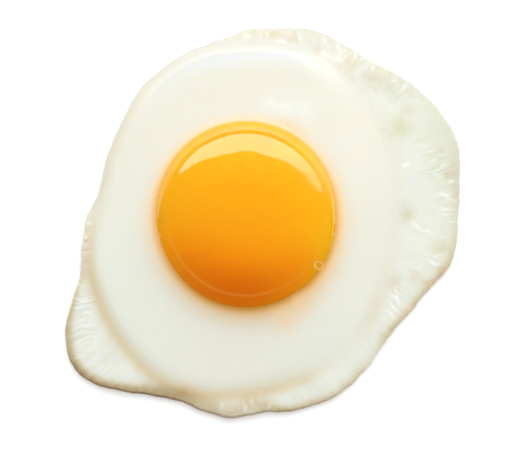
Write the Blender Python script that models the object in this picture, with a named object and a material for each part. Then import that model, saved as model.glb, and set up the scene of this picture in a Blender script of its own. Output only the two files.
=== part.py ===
"""A fried egg, sunny side up: a frilled white with a thick raised part, and a domed yolk set into it.

The egg lies with its flat underside on Z = 0 and the middle of its yolk over the origin. Bearings are in
degrees, counted anticlockwise from +X as seen from above, and a reach is a distance from the origin in plan.
There are two solids. The white is one skin, lofted through rings: from the middle of the seat that holds the
yolk, up the seat's wall and over its lip, out across the thick and the thin white, round the rim, and back
under. The yolk is a second skin, lofted from its bottom to its top, that fills the seat with a small gap all
round.
"""

import math

import bmesh
import bpy
from mathutils import Vector, noise

MM = 0.001

# The yolk, a squashed ball, fuller below its waist than above. The waist is its widest line, and lies below
# the lip of the white that holds it.
YOLK_ACROSS = 43.0 * MM
YOLK_LONG = 44.9 * MM
YOLK_FLOOR = 1.5 * MM
YOLK_WAIST = 4.1 * MM
YOLK_TOP = 15.2 * MM
YOLK_BELLY = 0.4
YOLK_SHOWN = 42.2 * MM
DOME_FALL = 3.0

# The seat, a little wider than the yolk all round, and the lip above it.
SEAT_GAP = 0.3 * MM
SEAT_FILM = YOLK_FLOOR - SEAT_GAP
SEAT_NECK = 9.0
LIP_ROUND = 0.35 * MM

# The white. The thick part falls from the yolk to its shoulder, and then rolls over to its foot.
THICK_AT_YOLK = 6.8 * MM
ROLL_FULLNESS = 2.0
THIN_AT_FOOT = 2.3 * MM
THIN_AT_RIM = 1.2 * MM
LEAST_THIN = 1.0 * MM
EDGE_INSET = 0.35 * MM
EDGE_SOFTNESS = 0.12 * MM
EDGE_LIFT = 0.05 * MM
EDGE_MIDDLE = 0.45
CURL_WIDTH = 7.0 * MM
CURL_HALF = 3.5 * MM

# Folds of the thin white. They wander off an even spacing, and reach full depth where it is this wide.
RUFFLE_DEPTH = 0.35 * MM
RUFFLES = 11
RUFFLE_WANDER = 5.0
RUFFLE_SLOWNESS = 1.7
RUFFLE_RISE = 0.7
RUFFLE_WIDTH = 8.0 * MM

# Lines of the white in plan, as (bearing, reach in mm). The rim is the outer edge of the thin white: it
# spreads widest to the right (21) and in the corner at the lower left (221), and hardly shows at the upper
# left.
RIM = (
    (0, 50.1), (10, 51.4), (21, 53.8), (31, 53.3), (41, 51.9), (50, 49.6), (60, 49.3), (72, 49.4),
    (82, 47.8), (90, 46.9), (96, 45.1), (110, 43.3), (129, 40.8), (141, 38.1), (156, 36.3), (170, 35.4),
    (179, 37.6), (188, 38.9), (200, 41.4), (206, 45.2), (213, 50.1), (221, 53.0), (228, 52.4), (234, 50.0),
    (241, 47.4), (250, 45.6), (258, 46.3), (266, 46.9), (274, 45.7), (283, 46.4), (297, 46.6), (306, 45.3),
    (319, 43.4), (331, 44.4), (339, 46.0), (347, 49.1),
)
# The foot of the thick white, where it comes down on the thin.
FOOT = (
    (0, 36.6), (18, 38.3), (32, 40.0), (45, 42.0), (58, 43.9), (70, 44.0), (90, 42.6), (106, 42.4),
    (125, 40.2), (141, 37.4), (156, 35.6), (170, 34.8), (181, 36.0), (197, 38.8), (209, 39.8), (225, 41.2),
    (235, 42.4), (247, 43.2), (258, 42.6), (275, 41.0), (297, 40.2), (316, 38.4), (332, 36.4), (346, 36.0),
)
# How wide the rolled edge of the thick white is: narrow at the back and left, long and faint on the right.
ROLL = (
    (0, 13.0), (30, 14.0), (48, 13.0), (62, 8.0), (75, 3.6), (100, 2.8), (150, 3.5), (180, 4.0), (225, 4.6),
    (270, 4.8), (295, 7.0), (330, 12.0),
)
# How high the thick white still is at its shoulder, in mm.
SHOULDER = (
    (0, 3.9), (40, 3.8), (58, 4.2), (70, 4.6), (90, 4.8), (130, 4.2), (180, 3.4), (200, 3.1), (230, 3.0),
    (300, 3.0), (330, 3.6),
)
# How softly the thick white runs out at its foot, in mm.
FOOT_BLEND = (
    (0, 4.0), (45, 3.0), (65, 1.5), (90, 1.0), (190, 1.0), (275, 1.0), (300, 2.0), (330, 3.5),
)
# How far the rim curls up off the pan, in mm.
CURL = (
    (15, 0.7), (50, 0.3), (85, 0.8), (130, 0.2), (175, 0.5), (223, 0.9), (250, 0.6), (280, 0.8), (325, 0.4),
)
# How softly the white runs up to the yolk, in mm.
FILLET = ((0, 2.8), (60, 2.0), (120, 2.0), (180, 2.8), (230, 2.8), (310, 2.6))

AROUND = 144
YOLK_AROUND = 72
SMOOTH_UP_TO = math.radians(50)
# Where the rings of the white lie, as shares of the way from the lip to the foot, then from the foot to the
# rim.
THICK_RINGS = (0.06, 0.16, 0.32, 0.5, 0.66, 0.77, 0.85, 0.91, 0.96, 1.0)
THIN_RINGS = (0.12, 0.3, 0.5, 0.7, 0.86)
# Where the rings of the seat and of the yolk lie, as turns in degrees: -90 at the bottom and 0 at the waist.
SEAT_TURNS = (-62, -42, -25, -11, 0)
YOLK_TURNS = (-66, -46, -28, -13, 0, 8, 16, 25, 34, 44, 54, 65, 77)


def around(knots, bearing):
    """The smooth closed curve through (bearing, value) knots, read at one bearing in degrees."""
    count = len(knots)
    bearing = bearing % 360
    after = next((i for i, knot in enumerate(knots) if knot[0] > bearing), count)

    def knot(index):
        turn, place = divmod(index, count)
        return knots[place][0] + 360 * turn, knots[place][1]

    (b0, v0), (b1, v1), (b2, v2), (b3, v3) = (knot(after + step) for step in (-2, -1, 0, 1))
    share = (bearing - b1) / (b2 - b1)
    slope_1 = (v2 - v0) / (b2 - b0) * (b2 - b1)
    slope_2 = (v3 - v1) / (b3 - b1) * (b2 - b1)
    square, cube = share**2, share**3
    return (
        (2 * cube - 3 * square + 1) * v1
        + (cube - 2 * square + share) * slope_1
        + (3 * square - 2 * cube) * v2
        + (cube - square) * slope_2
    )


def between(start, end, share):
    return start + (end - start) * share


def smooth_max(a, b, blend):
    """The larger of two heights, with the crease between them rounded over about the blend length."""
    return 0.5 * (a + b + math.sqrt((a - b) ** 2 + blend**2))


def at(bearing, reach, height):
    angle = math.radians(bearing)
    return Vector((reach * math.cos(angle), reach * math.sin(angle), height))


def ellipse(bearing, across, along):
    """Reach of an ellipse of these two widths."""
    angle = math.radians(bearing)
    return across * along / (2 * math.hypot(along * math.cos(angle), across * math.sin(angle)))


def waist(bearing, gap=0.0):
    return ellipse(bearing, YOLK_ACROSS, YOLK_LONG) + gap


def yolk_reach(bearing, turn, gap=0.0):
    """Reach of the yolk's skin, or of the seat a gap outside it."""
    fullness = YOLK_BELLY if turn < 0 else 1.0
    return waist(bearing, gap) * math.cos(math.radians(turn)) ** fullness


def yolk_height(turn, gap=0.0):
    rise = YOLK_WAIST - YOLK_FLOOR if turn < 0 else YOLK_TOP - YOLK_WAIST
    return YOLK_WAIST + (rise + gap) * math.sin(math.radians(turn))


def dome(bearing, reach):
    """Height of the yolk's upper skin at this place, carried on steeply down outside its waist."""
    share = min(reach / waist(bearing), 1.0)
    past = max(reach - waist(bearing), 0.0)
    return YOLK_WAIST + (YOLK_TOP - YOLK_WAIST) * math.sqrt(1 - share**2) - DOME_FALL * past


def lip_reach(bearing):
    """Reach of the line where the white leaves the yolk."""
    return ellipse(bearing, YOLK_SHOWN, YOLK_SHOWN + YOLK_LONG - YOLK_ACROSS) + SEAT_GAP


def curl(bearing, reach):
    """How far the white has lifted off the pan at this place, all of it in the last few millimetres."""
    inside = around(RIM, bearing) * MM - reach
    share = max(0.0, 1 - inside / CURL_WIDTH)
    return around(CURL, bearing) * MM * share**2


def ruffle(bearing, reach):
    """Gentle folds of the thin white that run outwards and deepen towards the rim."""
    foot = around(FOOT, bearing) * MM
    rim = around(RIM, bearing) * MM
    outwards = min(max((reach - foot) / (rim - foot), 0.0), 1.0)
    angle = math.radians(bearing)
    wander = noise.noise(Vector((math.cos(angle), math.sin(angle), 0.0)) * RUFFLE_SLOWNESS)
    wave = math.sin(RUFFLES * angle + RUFFLE_WANDER * wander)
    width = min((rim - foot) / RUFFLE_WIDTH, 1.0)
    return RUFFLE_DEPTH * wave * width * outwards ** RUFFLE_RISE


def white_height(bearing, reach):
    """Height of the white's upper face at this place."""
    inner = waist(bearing)
    foot = around(FOOT, bearing) * MM
    rim = around(RIM, bearing) * MM
    out = min(max((reach - inner) / (foot - inner), 0.0), 1.0)
    crown = between(THICK_AT_YOLK, around(SHOULDER, bearing) * MM, out)
    inside = smooth_max(foot - reach, 0.0, around(FOOT_BLEND, bearing) * MM)
    climb = min(inside / (around(ROLL, bearing) * MM), 1.0)
    rolled = 1 - (1 - climb) ** ROLL_FULLNESS
    thin = between(THIN_AT_FOOT, THIN_AT_RIM, max(0.0, (reach - foot) / (rim - foot)))
    thin = max(thin + ruffle(bearing, reach), LEAST_THIN)
    body = between(thin, crown, rolled) + curl(bearing, reach)
    return smooth_max(dome(bearing, reach), body, around(FILLET, bearing) * MM)


def seat_rings():
    """From near the middle of the seat's floor up its wall, past the waist and in to the lip."""
    for turn in SEAT_TURNS:
        yield lambda b, turn=turn: at(b, yolk_reach(b, turn, SEAT_GAP), yolk_height(turn, SEAT_GAP))
    yield lambda b: at(b, yolk_reach(b, SEAT_NECK, SEAT_GAP), yolk_height(SEAT_NECK))
    yield lambda b: at(b, lip_reach(b), white_height(b, lip_reach(b)) - LIP_ROUND)
    yield lambda b: at(b, lip_reach(b) + LIP_ROUND, white_height(b, lip_reach(b) + LIP_ROUND))


def upper_rings():
    """Out across the thick white, over its rolled edge, and across the thin white."""
    def ring(reach_at):
        return lambda b: at(b, reach_at(b), white_height(b, reach_at(b)))

    for share in THICK_RINGS:
        yield ring(lambda b, share=share: between(lip_reach(b) + LIP_ROUND, around(FOOT, b) * MM, share))
    for share in THIN_RINGS:
        yield ring(lambda b, share=share: between(around(FOOT, b) * MM, around(RIM, b) * MM, share))


def rim_rings():
    """Round the edge of the thin white and back under it, to the line where it leaves the pan."""
    def reach(bearing, inside):
        return around(RIM, bearing) * MM - inside

    def top(bearing):
        return white_height(bearing, reach(bearing, 0))

    def bottom(bearing):
        return curl(bearing, reach(bearing, 0))

    yield lambda b: at(b, reach(b, EDGE_INSET), top(b) - EDGE_SOFTNESS)
    yield lambda b: at(b, reach(b, 0), between(bottom(b), top(b), EDGE_MIDDLE))
    yield lambda b: at(b, reach(b, EDGE_INSET), bottom(b) + EDGE_LIFT)
    yield lambda b: at(b, reach(b, CURL_HALF), curl(b, reach(b, CURL_HALF)))
    yield lambda b: at(b, reach(b, CURL_WIDTH), 0.0)


def yolk_rings():
    for turn in YOLK_TURNS:
        yield lambda b, turn=turn: at(b, yolk_reach(b, turn), yolk_height(turn))


def loft(name, rings, steps, first_pole, last_pole, material):
    """One closed skin through the rings, each a function of bearing, from a point to a point or a flat."""
    bearings = [360 * step / steps for step in range(steps)]
    shape = bmesh.new()
    loops = [[shape.verts.new(ring(bearing)) for bearing in bearings] for ring in rings]
    pole = shape.verts.new(first_pole)
    for here, there in zip(range(steps), [*range(1, steps), 0]):
        shape.faces.new((pole, loops[0][there], loops[0][here]))
        for inner, outer in zip(loops, loops[1:]):
            shape.faces.new((inner[here], inner[there], outer[there], outer[here]))
    if last_pole is None:
        shape.faces.new(loops[-1])
    else:
        pole = shape.verts.new(last_pole)
        for here, there in zip(range(steps), [*range(1, steps), 0]):
            shape.faces.new((pole, loops[-1][here], loops[-1][there]))
    bmesh.ops.recalc_face_normals(shape, faces=shape.faces)
    mesh = bpy.data.meshes.new(name)
    shape.to_mesh(mesh)
    shape.free()
    mesh.materials.append(material)
    mesh.shade_smooth()
    mesh.set_sharp_from_angle(angle=SMOOTH_UP_TO)
    solid = bpy.data.objects.new(name, mesh)
    bpy.context.scene.collection.objects.link(solid)
    return solid


def finish(name, colour, roughness):
    """A plain glossy food surface."""
    material = bpy.data.materials.new(name)
    material.use_nodes = True
    surface = material.node_tree.nodes["Principled BSDF"]
    surface.inputs["Base Color"].default_value = (*colour, 1.0)
    surface.inputs["Roughness"].default_value = roughness
    surface.inputs["Metallic"].default_value = 0.0
    material.diffuse_color = (*colour, 1.0)
    return material


def build_white():
    rings = [*seat_rings(), *upper_rings(), *rim_rings()]
    material = finish("set_white", (0.86, 0.84, 0.74), 0.25)
    return loft("white", rings, AROUND, (0, 0, SEAT_FILM), None, material)


def build_yolk():
    material = finish("soft_yolk", (0.95, 0.40, 0.01), 0.12)
    return loft("yolk", list(yolk_rings()), YOLK_AROUND, (0, 0, YOLK_FLOOR), (0, 0, YOLK_TOP), material)


def main():
    for old in list(bpy.data.objects):
        bpy.data.objects.remove(old)
    build_white()
    build_yolk()


main()
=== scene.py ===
# %% [markdown]
# # A fried egg, sunny side up
# The egg has two pieces: the white, which has set into a thick raised mound inside a thin frilled skirt, and
# the yolk, a soft glossy dome that sits in a seat in the mound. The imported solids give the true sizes. This
# lesson loads them, lays a finer skin over each one, and then gives the skins the finish of cooked egg.

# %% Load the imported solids
import math

import bpy
import numpy as np
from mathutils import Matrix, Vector, noise


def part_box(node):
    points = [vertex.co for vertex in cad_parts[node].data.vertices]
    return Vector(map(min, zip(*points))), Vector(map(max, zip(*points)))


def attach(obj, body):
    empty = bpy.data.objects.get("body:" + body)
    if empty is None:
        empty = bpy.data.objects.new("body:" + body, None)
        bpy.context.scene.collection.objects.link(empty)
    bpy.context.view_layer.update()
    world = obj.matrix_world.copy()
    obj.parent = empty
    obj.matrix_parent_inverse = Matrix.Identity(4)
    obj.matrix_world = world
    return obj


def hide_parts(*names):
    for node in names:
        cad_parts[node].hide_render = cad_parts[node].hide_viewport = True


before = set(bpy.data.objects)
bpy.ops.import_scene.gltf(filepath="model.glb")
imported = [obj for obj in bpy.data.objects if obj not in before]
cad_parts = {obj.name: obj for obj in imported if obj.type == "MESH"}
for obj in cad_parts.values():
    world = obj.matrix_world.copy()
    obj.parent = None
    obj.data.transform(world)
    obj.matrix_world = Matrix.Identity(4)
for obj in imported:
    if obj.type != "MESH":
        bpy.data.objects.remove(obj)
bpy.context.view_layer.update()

MM = 0.001
yolk_low, yolk_high = (np.array(corner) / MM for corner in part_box("yolk"))
white_low, white_high = (np.array(corner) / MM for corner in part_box("white"))
print("nodes:", sorted(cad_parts), "white, mm:", (white_high - white_low).round(1))

# %% [markdown]
# ## Lines of the egg in plan
# A pan-fried egg has no straight edge. Its lines are easiest to hold as a reach from the middle of the yolk
# at a bearing, with a smooth closed curve through a few knots: one for the rim of the skirt, one for the foot
# of the thick white, and short ones for what changes slowly on the way round. Bearings are in degrees,
# counted anticlockwise from +X as seen from above, and lengths are in millimetres.

# %% Read a closed curve at any bearing
def around(knots, bearing):
    """The smooth closed curve through (bearing, value) knots, read at an array of bearings."""
    table = np.array(knots, float)
    place = np.concatenate([table[:, 0] - 360, table[:, 0], table[:, 0] + 360])
    value = np.tile(table[:, 1], 3)
    slope = np.zeros_like(value)
    slope[1:-1] = (value[2:] - value[:-2]) / (place[2:] - place[:-2])
    bearing = np.asarray(bearing) % 360
    after = np.searchsorted(place, bearing, side="right")
    gap = place[after] - place[after - 1]
    share = (bearing - place[after - 1]) / gap
    square, cube = share**2, share**3
    return (
        (2 * cube - 3 * square + 1) * value[after - 1]
        + (cube - 2 * square + share) * slope[after - 1] * gap
        + (3 * square - 2 * cube) * value[after]
        + (cube - square) * slope[after] * gap
    )


AROUND = 1600
bearings = np.arange(AROUND) * 360 / AROUND
angles = np.radians(bearings)
print(f"{AROUND} bearings, {360 / AROUND:.3f} degrees apart")

# %% Rim of the skirt and foot of the thick white
RIM = (
    (0, 50.1), (10, 51.4), (21, 53.8), (31, 53.3), (41, 51.9), (50, 49.6), (60, 49.3), (72, 49.4),
    (82, 47.8), (90, 46.9), (96, 45.1), (110, 43.3), (129, 40.8), (141, 38.1), (156, 36.3), (170, 35.4),
    (179, 37.6), (188, 38.9), (200, 41.4), (206, 45.2), (213, 50.1), (221, 53.0), (228, 52.4), (234, 50.0),
    (241, 47.4), (250, 45.6), (258, 46.3), (266, 46.9), (274, 45.7), (283, 46.4), (297, 46.6), (306, 45.3),
    (319, 43.4), (331, 44.4), (339, 46.0), (347, 49.1),
)
FOOT = (
    (0, 36.6), (18, 38.3), (32, 40.0), (45, 42.0), (58, 43.9), (70, 44.0), (90, 42.6), (106, 42.4),
    (125, 40.2), (141, 37.4), (156, 35.6), (170, 34.8), (181, 36.0), (197, 38.8), (209, 39.8), (225, 41.2),
    (235, 42.4), (247, 43.2), (258, 42.6), (275, 41.0), (297, 40.2), (316, 38.4), (332, 36.4), (346, 36.0),
)
rim = around(RIM, bearings)
foot = around(FOOT, bearings)
print(f"rim reaches {rim.min():.1f} to {rim.max():.1f} mm, foot {foot.min():.1f} to {foot.max():.1f} mm")

# %% [markdown]
# ## Frilled edge
# The skirt's edge is scalloped where bubbles of steam and fat lifted it. Noise read on a circle closes on
# itself, so one function can draw features of any width round the rim: the radius of the circle is the
# number of features for each radian.

# %% Noise round the egg
SCALLOP = 0.30
SCALLOP_WIDTH = 4.0
FRAY = 0.11
FRAY_WIDTH = 1.5


def ring_noise(width, reach=None, length=1.0, seed=0.0):
    """Noise whose features are about width mm wide along the rim and length mm long outwards, -1 to 1."""
    radius = rim.mean() / width
    reach = np.zeros((1, AROUND)) if reach is None else reach
    x, y = radius * np.cos(angles), radius * np.sin(angles)
    rows = [
        [noise.noise(Vector((p, q, out / length + seed))) for p, q, out in zip(x, y, row)]
        for row in reach
    ]
    return np.array(rows)


rim = rim + SCALLOP * ring_noise(SCALLOP_WIDTH, seed=11.0)[0] + FRAY * ring_noise(FRAY_WIDTH, seed=23.0)[0]
print(f"frilled rim reaches {rim.min():.1f} to {rim.max():.1f} mm")

# %% [markdown]
# ## Where the yolk shows
# The yolk is a squashed ball that is widest at its waist, low in the white. The white has set against its
# side, so what shows is a cap, and the skin of the white runs up to it in a soft fillet. Its sizes come from
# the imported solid.

# %% Lines of the yolk
YOLK_WAIST = 4.1
YOLK_BELLY = 0.4
COVERED_ACROSS = 0.85
COVERED_ALONG = 0.4
DOME_FALL = 3.0
OFF_ROUND = ((0, 0.15), (60, 0.0), (120, 0.0), (180, -0.05), (250, 0.0), (285, 0.05), (318, 0.35))
yolk_across, yolk_long = (yolk_high - yolk_low)[:2]
yolk_floor, yolk_top = yolk_low[2], yolk_high[2]


def ellipse(across, along):
    """Reach of an ellipse at each bearing."""
    return across * along / np.hypot(along * np.cos(angles), across * np.sin(angles))


waist = ellipse(yolk_across / 2, yolk_long / 2)
shown = ellipse(yolk_across / 2 - COVERED_ACROSS, yolk_long / 2 - COVERED_ALONG) + around(OFF_ROUND, bearings)
print(f"yolk {yolk_across:.1f} x {yolk_long:.1f} mm, of which {2 * shown.mean():.1f} mm across shows")

# %% Upper and lower skin of the yolk
def dome(reach):
    """Height of the yolk's upper skin, carried on steeply down outside its waist."""
    over = np.sqrt(np.clip(1 - (reach / waist) ** 2, 0, None))
    return YOLK_WAIST + (yolk_top - YOLK_WAIST) * over - DOME_FALL * np.clip(reach - waist, 0, None)


def belly(turn, gap=0.0):
    """Reach and height of the yolk's underside, or of its seat a gap outside. A turn is -90 at the bottom."""
    reach = (waist + gap) * np.cos(np.radians(turn)) ** YOLK_BELLY
    return reach, YOLK_WAIST + (YOLK_WAIST - yolk_floor + gap) * math.sin(math.radians(turn)) + 0 * waist


print(f"top of the yolk at {dome(0 * waist).max():.1f} mm, its floor at {yolk_floor:.1f} mm")

# %% [markdown]
# ## Body of the white
# The thick white slopes gently down from the yolk to a shoulder, rolls over to a foot, and runs out into the
# thin skirt. That is one height for each reach and bearing. Two faces that meet are joined with a smooth
# maximum, which leaves a fillet where a plain maximum leaves a crease.

# %% Shapes that the body is made of
THIN_AT_FOOT = 2.3
THIN_AT_RIM = 1.2
LEAST_THIN = 0.9
CURL = (
    (15, 0.7), (50, 0.3), (85, 0.8), (130, 0.2), (175, 0.5), (223, 0.9), (250, 0.6), (280, 0.8), (325, 0.4),
)
CURL_WIDTH = 7.0
RUFFLES = 11
RUFFLE_DEPTH = 0.35
RUFFLE_WANDER = 5.0
RUFFLE_RISE = 0.7
WANDER_SIZE = 1.7
WIDE_SKIRT = 8.0


def smooth_max(a, b, blend):
    return 0.5 * (a + b + np.sqrt((a - b) ** 2 + blend**2))


def outwards(reach):
    """0 at the foot of the thick white and inside it, 1 at the rim."""
    return np.clip((reach - foot) / (rim - foot), 0, 1)


def curl(reach):
    """How far the rim has curled up off the pan."""
    share = np.clip(1 - (rim - reach) / CURL_WIDTH, 0, 1)
    return around(CURL, bearings) * share**2


def ruffle(reach):
    """Broad folds of the skirt that run outwards and deepen towards the rim."""
    wander = [noise.noise(Vector((math.cos(a), math.sin(a), 0.0)) * WANDER_SIZE) for a in angles]
    wave = np.sin(RUFFLES * angles + RUFFLE_WANDER * np.array(wander))
    width = np.clip((rim - foot) / WIDE_SKIRT, 0, 1)
    return RUFFLE_DEPTH * wave * width * outwards(reach) ** RUFFLE_RISE


print(f"the skirt is {(rim - foot).max():.1f} mm wide at most, and curls up by {curl(rim).max():.1f} mm")

# %% [markdown]
# ## Fine relief of the skirt
# The thick white is smooth. The skirt is another matter: it set in seconds over hot fat, so it has sets of
# fine ridges, raised threads of white, and small uneven folds. Carving them by hand would take days. Here
# each kind is a height to add to the skin, made by its own function and faded in past the foot.

# %% Sets of fine ridges
# Bearing and reach of the middle, then half the width along the rim, half the length outwards, the distance
# from ridge to ridge and the height, all in mm, and the lean of the ridges in degrees.
CRINKLES = (
    (19.5, 46.5, 1.0, 3.0, 1.5, 0.06, 0), (14.8, 47.4, 2.4, 2.6, 1.25, 0.07, 4),
    (6.6, 47.4, 1.5, 2.4, 2.4, 0.12, 0), (1.6, 46.8, 2.4, 2.6, 1.35, 0.06, -16),
    (346.5, 44.3, 1.3, 2.0, 1.4, 0.07, -10), (330.4, 39.8, 2.4, 1.8, 1.8, 0.12, -5),
    (38.0, 48.6, 3.5, 2.0, 1.7, 0.05, 10), (57.0, 46.8, 3.5, 1.6, 1.6, 0.06, 0),
    (76.5, 46.4, 3.5, 2.0, 2.6, 0.12, 0), (86.0, 44.9, 3.0, 1.6, 2.1, 0.10, 0),
    (190.0, 38.2, 7.0, 1.6, 2.3, 0.22, 0), (208.5, 43.0, 3.0, 2.6, 1.35, 0.10, -20),
    (216.0, 46.5, 3.0, 3.2, 1.7, 0.10, -25), (226.0, 48.5, 3.5, 3.0, 1.9, 0.08, 0),
    (272.0, 43.8, 3.0, 1.4, 2.0, 0.12, 0), (318.0, 41.6, 3.5, 1.4, 1.9, 0.08, 0),
)
CRINKLE_BEND = 1.3
CRINKLE_UNEVEN = 0.8


def along_rim(reach, bearing):
    """Distance along the rim from a bearing, in mm."""
    return ((bearings - bearing + 180) % 360 - 180) * math.pi / 180 * reach


def crinkle(reach, wobble):
    """Short sets of fine ridges, where the thin white puckered as it set."""
    height = np.zeros_like(reach)
    for bearing, middle, width, length, spacing, depth, lean in CRINKLES:
        across, out = along_rim(reach, bearing), reach - middle
        slide = across - out * math.tan(math.radians(lean)) + CRINKLE_BEND * wobble
        inside = np.exp(-((across / width) ** 2) - (out / length) ** 2)
        height += depth * inside * np.cos(2 * math.pi * slide / spacing) * (1 + CRINKLE_UNEVEN * wobble)
    return height


print(f"{len(CRINKLES)} sets of ridges")

# %% Raised threads of white, which also carry painted glints
# Bearing and reach of the middle, half the width along the rim and half the length outwards in mm, the
# lean in degrees, and how strong each one is.
GLINT_THREADS = (
    (18.6, 39.8, 0.45, 0.7, 20, 1.0), (18.5, 48.6, 0.2, 0.6, 10, 0.8), (20.5, 46.8, 0.18, 0.7, 0, 0.7),
    (17.2, 46.6, 0.25, 0.6, -15, 0.9), (15.5, 48.5, 0.22, 0.7, 0, 0.9), (14.2, 46.2, 0.2, 0.9, 10, 0.6),
    (12.6, 46.8, 0.25, 0.7, 0, 0.7), (10.2, 49.3, 0.3, 0.6, 0, 1.0), (6.8, 47.5, 0.5, 1.3, -5, 1.0),
    (5.4, 48.4, 0.25, 1.2, -8, 0.7), (2.7, 46.9, 0.22, 1.3, -18, 0.9), (1.4, 46.4, 0.2, 1.4, -18, 0.7),
    (359.3, 48.4, 0.18, 1.0, -14, 0.7), (357.2, 40.0, 0.5, 1.1, -30, 0.8),
    (355.6, 42.4, 0.25, 1.1, -12, 0.7), (354.4, 46.6, 0.18, 1.2, -6, 0.6), (348.6, 45.6, 0.25, 0.8, 0, 0.7),
    (346.3, 45.0, 0.28, 1.3, -8, 1.0), (343.5, 42.0, 0.5, 1.2, 0, 0.4), (333.6, 39.0, 0.3, 0.9, -20, 0.9),
    (331.4, 39.8, 0.35, 1.0, -20, 1.0), (328.6, 40.3, 0.3, 1.1, -20, 0.9),
    (326.0, 40.4, 0.4, 1.2, -10, 0.6), (40.5, 49.6, 0.22, 0.9, 12, 0.7), (43.5, 49.0, 0.25, 0.8, 5, 0.8),
    (35.0, 50.2, 0.2, 0.7, 0, 0.5), (50.5, 47.9, 0.3, 0.7, 30, 0.8), (56.5, 47.9, 0.3, 0.9, 45, 0.9),
    (62.5, 48.0, 0.35, 0.8, 40, 0.9), (66.5, 47.6, 0.3, 0.8, 35, 0.6), (60.0, 44.9, 0.7, 0.5, 0, 0.7),
    (65.5, 44.6, 0.6, 0.4, 0, 0.7), (74.0, 46.6, 0.3, 1.1, 20, 0.6), (79.0, 44.4, 0.9, 0.3, 0, 0.7),
    (84.0, 45.6, 0.25, 1.2, 0, 0.5), (90.0, 44.6, 0.9, 0.9, 0, 0.5), (202.5, 42.0, 0.3, 0.8, -30, 0.6),
    (206.5, 43.4, 0.22, 1.4, -40, 0.9), (208.8, 44.6, 0.2, 1.0, -40, 0.4),
    (210.8, 43.6, 0.25, 1.5, -45, 0.45), (213.5, 45.6, 0.3, 1.0, -45, 0.3),
    (217.0, 48.6, 0.2, 0.8, -20, 0.5), (220.5, 50.6, 0.22, 0.8, -15, 0.5),
    (223.0, 50.4, 0.2, 0.7, -10, 0.3), (182.0, 37.0, 0.3, 0.7, 0, 0.7), (187.0, 38.2, 0.35, 0.7, 0, 0.8),
    (194.0, 40.0, 0.35, 0.6, 0, 0.8), (198.0, 40.8, 0.3, 0.6, 0, 0.7), (262.5, 44.6, 0.3, 0.9, 0, 0.4),
    (270.0, 44.4, 0.3, 0.9, 0, 0.5), (277.0, 44.6, 0.3, 0.8, 0, 0.4),
)
STREAK_HEIGHT = 0.12
STREAK_BEND = 0.25
STREAK_TURNS = 2.2


def glint_threads(reach):
    """Raised threads of white that set in the clear skirt, 0 to 1; the same mask places their painted glints.
    """
    found = np.zeros_like(reach)
    for bearing, middle, width, length, lean, strength in GLINT_THREADS:
        across, out = along_rim(reach, bearing), reach - middle
        bend = STREAK_BEND * np.sin(STREAK_TURNS * out + bearing)
        slide = across - out * math.tan(math.radians(lean)) + bend
        found = np.maximum(found, strength * np.exp(-((slide / width) ** 2) - (out / length) ** 2))
    return found


print(f"{len(GLINT_THREADS)} threads")

# %% All the fine relief
PUCKERED = (
    (0, 0.3), (30, 0.35), (45, 0.8), (75, 1.0), (110, 0.8), (150, 0.4), (190, 0.6), (215, 0.8), (235, 0.45),
    (270, 0.5), (320, 0.3),
)
PUCKER_HEIGHT = 0.06
WRINKLE = 0.07
COARSE = 1.2
FADE_START = 1.5
FADE_WIDTH = 3.0


def puckers(reach):
    """Small uneven folds that run outwards, -1 to 1, deepest where the skirt is frilled."""
    return ring_noise(1.2, reach, length=3.2, seed=17.0) * around(PUCKERED, bearings)


def wrinkle(reach):
    """All the fine relief of the skirt."""
    wobble = ring_noise(2.6, reach, length=5.0, seed=3.0)
    coarse = ring_noise(3.6, reach, length=9.0, seed=7.0)
    fade = np.clip((reach - foot + FADE_START) / FADE_WIDTH, 0, 1)
    folds = crinkle(reach, wobble) + WRINKLE * (wobble + COARSE * coarse) + PUCKER_HEIGHT * puckers(reach)
    return folds * fade + STREAK_HEIGHT * glint_threads(reach)


rim_relief = wrinkle(rim[None])
print(f"relief at the rim {rim_relief.min():.2f} to {rim_relief.max():.2f} mm")

# %% Height of the whole upper face
THICK_AT_YOLK = 6.8
SHOULDER = (
    (0, 3.9), (40, 3.8), (58, 4.2), (70, 4.6), (90, 4.8), (130, 4.2), (180, 3.4), (200, 3.1), (230, 3.0),
    (300, 3.0), (330, 3.6),
)
ROLL = (
    (0, 13.0), (30, 14.0), (48, 13.0), (62, 8.0), (75, 3.6), (100, 2.8), (150, 3.5), (180, 4.0), (225, 4.6),
    (270, 4.8), (295, 7.0), (330, 12.0),
)
FOOT_BLEND = ((0, 4.0), (45, 3.0), (65, 1.5), (90, 1.0), (190, 1.0), (275, 1.0), (300, 2.0), (330, 3.5))
FILLET = ((0, 2.8), (60, 2.0), (120, 2.0), (180, 2.8), (230, 2.8), (310, 2.6))
SWELL = 0.10
SWELL_SIZE = 9.0


def swell(reach, size, seed):
    """Slow rise and fall, -1 to 1, with features about size mm wide."""
    x, y = reach * np.cos(angles) / size, reach * np.sin(angles) / size
    return np.array([[noise.noise(Vector((p, q, seed))) for p, q in zip(*rows)] for rows in zip(x, y)])


def body_height(reach):
    """Height of the white's upper face, without the fillet at the yolk."""
    out = np.clip((reach - waist) / (foot - waist), 0, 1)
    crown = THICK_AT_YOLK + (around(SHOULDER, bearings) - THICK_AT_YOLK) * out
    inside = smooth_max(foot - reach, 0, around(FOOT_BLEND, bearings))
    climb = np.clip(inside / around(ROLL, bearings), 0, 1)
    rolled = 1 - (1 - climb) ** 2
    thin = THIN_AT_FOOT + (THIN_AT_RIM - THIN_AT_FOOT) * outwards(reach)
    thin = np.maximum(thin + ruffle(reach), LEAST_THIN)
    smooth = thin + (crown - thin) * rolled + curl(reach)
    return smooth + wrinkle(reach) + SWELL * swell(reach, SWELL_SIZE, seed=4.0)


def skin_height(reach):
    """Height of the egg's whole upper face: the yolk's cap, the fillet and the white."""
    return smooth_max(dome(reach), body_height(reach), around(FILLET, bearings))


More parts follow.
